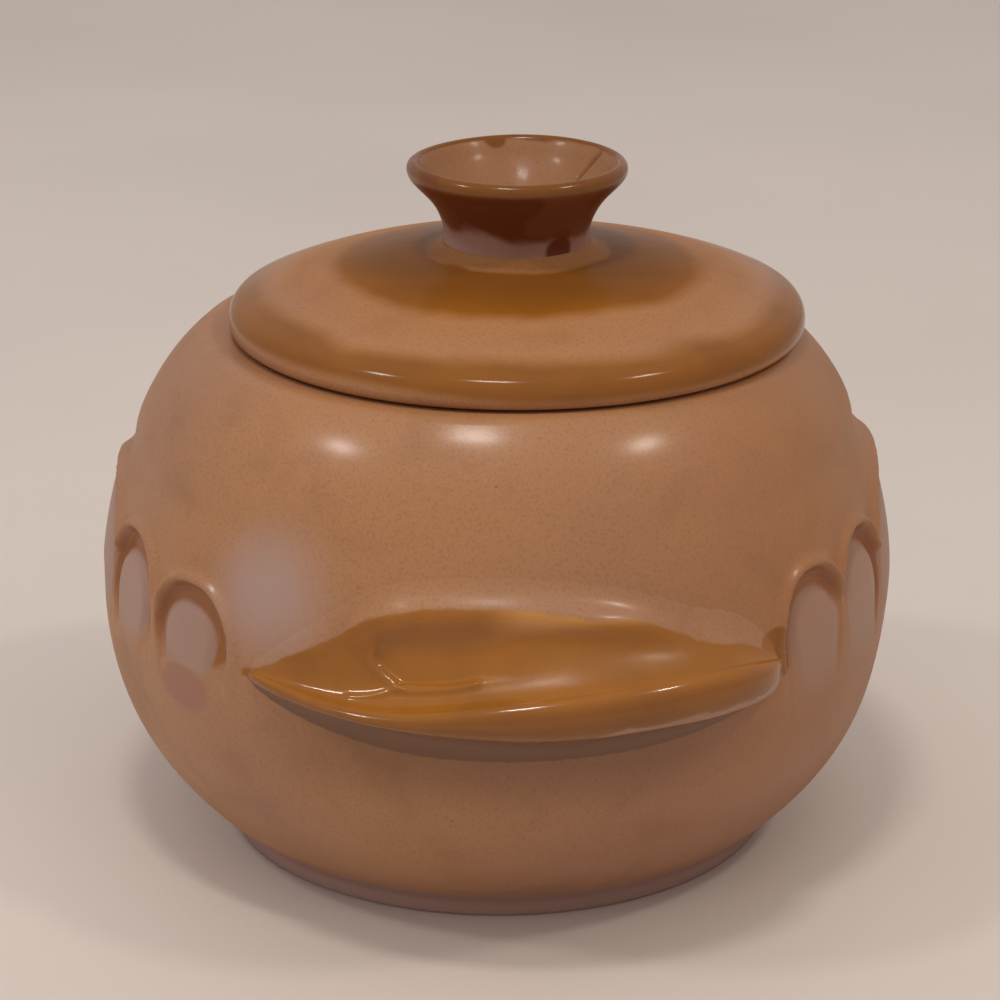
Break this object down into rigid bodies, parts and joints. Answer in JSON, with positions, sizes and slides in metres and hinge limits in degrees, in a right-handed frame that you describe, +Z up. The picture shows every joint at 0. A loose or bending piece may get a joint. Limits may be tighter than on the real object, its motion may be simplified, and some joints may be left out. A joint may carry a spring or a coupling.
{
  "type": "stoneware bean pot",
  "caption": "Squat round glazed stoneware pot with two ledge lugs, arched relief on its sides and a lift-off lid with a hollow flared knob.",
  "frame": {"origin": "centre of the foot ring, on the surface that the pot stands on", "axes": "+Z up along the pot's axis, -Y towards the front lug, +X to the right when seen from the front"},
  "size_m": [0.1899, 0.2152, 0.163],
  "materials": {
    "body_glaze": "satin",
    "lug_glaze": "gloss",
    "lid_glaze": "satin",
    "flange_glaze": "satin",
    "knob_glaze": "gloss"
  },
  "bodies": {
    "pot": {"pot_body": "body_glaze", "front_lug": "lug_glaze", "rear_lug": "lug_glaze"},
    "cover": {"lid": "lid_glaze", "lid_flange": "flange_glaze", "lid_knob": "knob_glaze"}
  },
  "joints": [
    {"name": "lid_lift", "type": "slide", "parent": "pot", "child": "cover", "axis": [0, 0, 1], "range_m": [0, 0.1]}
  ]
}
